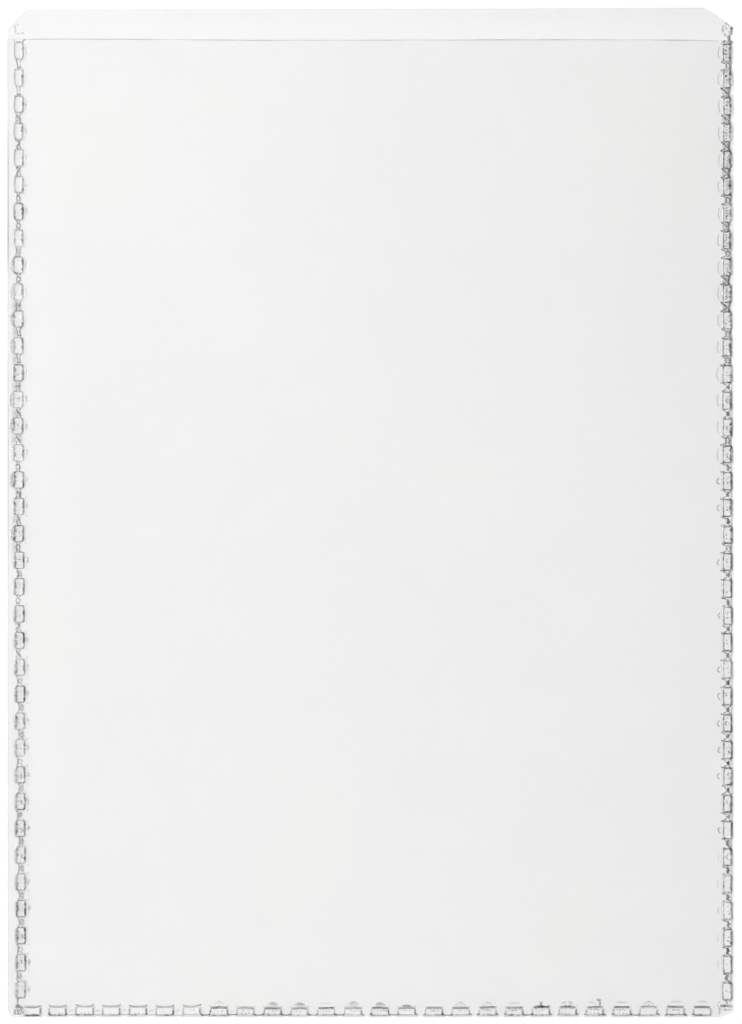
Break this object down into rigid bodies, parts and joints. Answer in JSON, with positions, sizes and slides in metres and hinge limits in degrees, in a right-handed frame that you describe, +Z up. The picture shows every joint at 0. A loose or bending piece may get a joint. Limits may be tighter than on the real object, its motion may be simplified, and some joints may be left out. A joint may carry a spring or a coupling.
{
  "type": "badge sleeve",
  "caption": "Flat clear film sleeve for a card, welded along both sides and the bottom with a row of pressed marks, open at the top, with a short lip on its back film.",
  "frame": {"origin": "on the surface that the sleeve lies on, under the middle of the back film", "axes": "+Z up out of the front film, +Y towards the open mouth, +X to the right as seen from the front"},
  "size_m": [0.1116, 0.1548, 0.0009],
  "materials": {
    "clear_film": "clear soft PVC film, calendered smooth, faintly hazy",
    "weld_bead": "the same PVC melted and squeezed into a rounded bead, smooth and slightly smoky"
  },
  "bodies": {
    "root": {"back_film": "clear_film", "front_film": "clear_film", "left_weld_seam": "weld_bead", "right_weld_seam": "weld_bead", "bottom_weld_seam": "weld_bead"}
  },
  "joints": []
}
